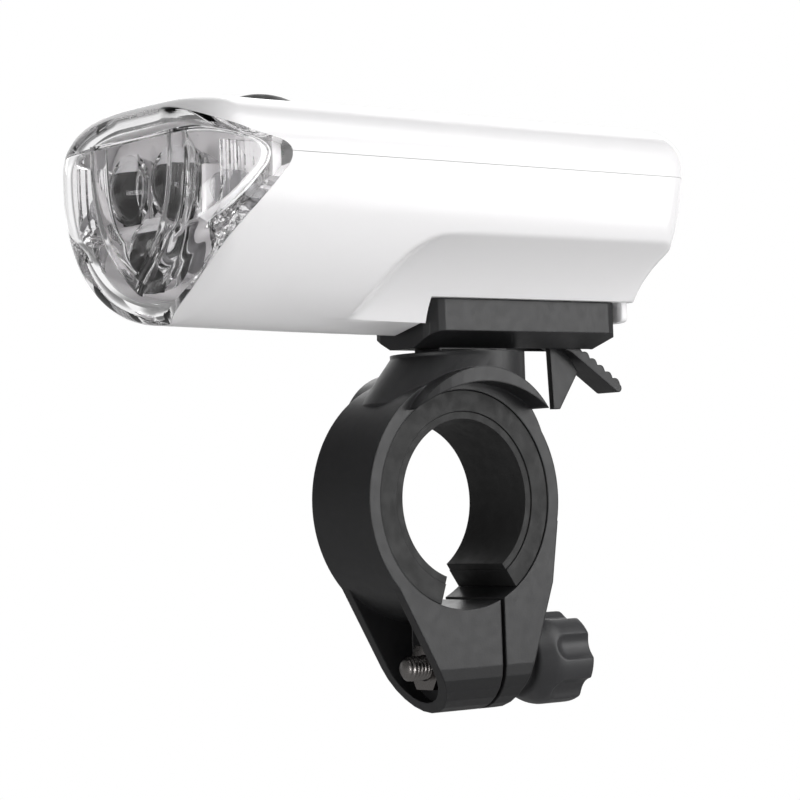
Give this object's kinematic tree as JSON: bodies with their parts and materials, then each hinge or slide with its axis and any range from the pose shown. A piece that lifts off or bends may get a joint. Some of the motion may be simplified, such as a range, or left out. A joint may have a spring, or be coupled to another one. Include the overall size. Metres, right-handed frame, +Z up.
{
  "type": "bicycle headlight",
  "caption": "Battery headlight with a wrap-round clear lens on a quick-release shoe, carried by a hinged-open plastic ring that a fluted knob clamps round a bar.",
  "frame": {"origin": "centre of the clamp's bore, in the middle of the ring's width", "axes": "+X along the bore to the rider's left, +Y to the rear, -Y where the lens faces, +Z up"},
  "size_m": [0.044, 0.097, 0.097],
  "materials": {
    "black_plastic": "satin moulded",
    "black_rubber": "soft satin",
    "zinc_steel": "zinc plated",
    "white_shell": "gloss",
    "clear_plastic": "polished clear plastic",
    "emitter": "clear resin",
    "frame_plastic": "silvered",
    "circuit_board": "solder mask",
    "switch": "moulded",
    "tray_plastic": "moulded",
    "cell_sleeve": "plain sleeve",
    "contact_metal": "nickel plated"
  },
  "bodies": {
    "base": {"clamp_ring": "black_plastic", "liner": "black_rubber", "inner_pad": "black_rubber", "clamp_nut": "zinc_steel", "clamp_washer": "zinc_steel", "swivel_screw": "zinc_steel"},
    "knob": {"knob": "black_plastic", "clamp_screw": "zinc_steel"},
    "light": {"swivel_plate": "black_plastic", "shoe": "black_plastic", "case_seal": "black_rubber", "lever_pin": "zinc_steel", "shoe_screw_front": "zinc_steel", "shoe_screw_rear": "zinc_steel", "lower_case": "white_shell", "top_cover": "white_shell", "front_lens": "clear_plastic", "optic_1": "clear_plastic", "optic_2": "clear_plastic", "optic_3": "clear_plastic", "led_1": "emitter", "led_2": "emitter", "led_3": "emitter", "side_lamp_left": "emitter", "side_lamp_right": "emitter", "lamp_frame": "frame_plastic", "led_board": "circuit_board", "control_board": "circuit_board", "button_switch": "switch", "battery_tray": "tray_plastic", "cell_left": "cell_sleeve", "cell_right": "cell_sleeve", "contact_bridge": "contact_metal", "contact_left": "contact_metal", "contact_right": "contact_metal"},
    "lever": {"release_lever": "black_plastic"},
    "button": {"power_button": "black_rubber"}
  },
  "joints": [
    {"name": "knob_turn", "type": "hinge", "parent": "base", "child": "knob", "pos_m": [0, 0.0135, -0.0265], "axis": [0, 1, 0], "continuous": true},
    {"name": "light_swivel", "type": "hinge", "parent": "base", "child": "light", "pos_m": [0, 0.0053, 0.0235], "axis": [0, 0, 1], "range_deg": [-15, 15]},
    {"name": "lever_press", "type": "hinge", "parent": "light", "child": "lever", "pos_m": [0, 0.0266, 0.0272], "axis": [-1, 0, 0], "range_deg": [0, 9], "stiffness_Nm_per_rad": 0.4, "springref_deg": -2.86},
    {"name": "button_press", "type": "slide", "parent": "light", "child": "button", "axis": [0, 0, -1], "range_m": [0, 0.0008], "stiffness_N_per_m": 1500, "springref_m": -0.0005}
  ]
}
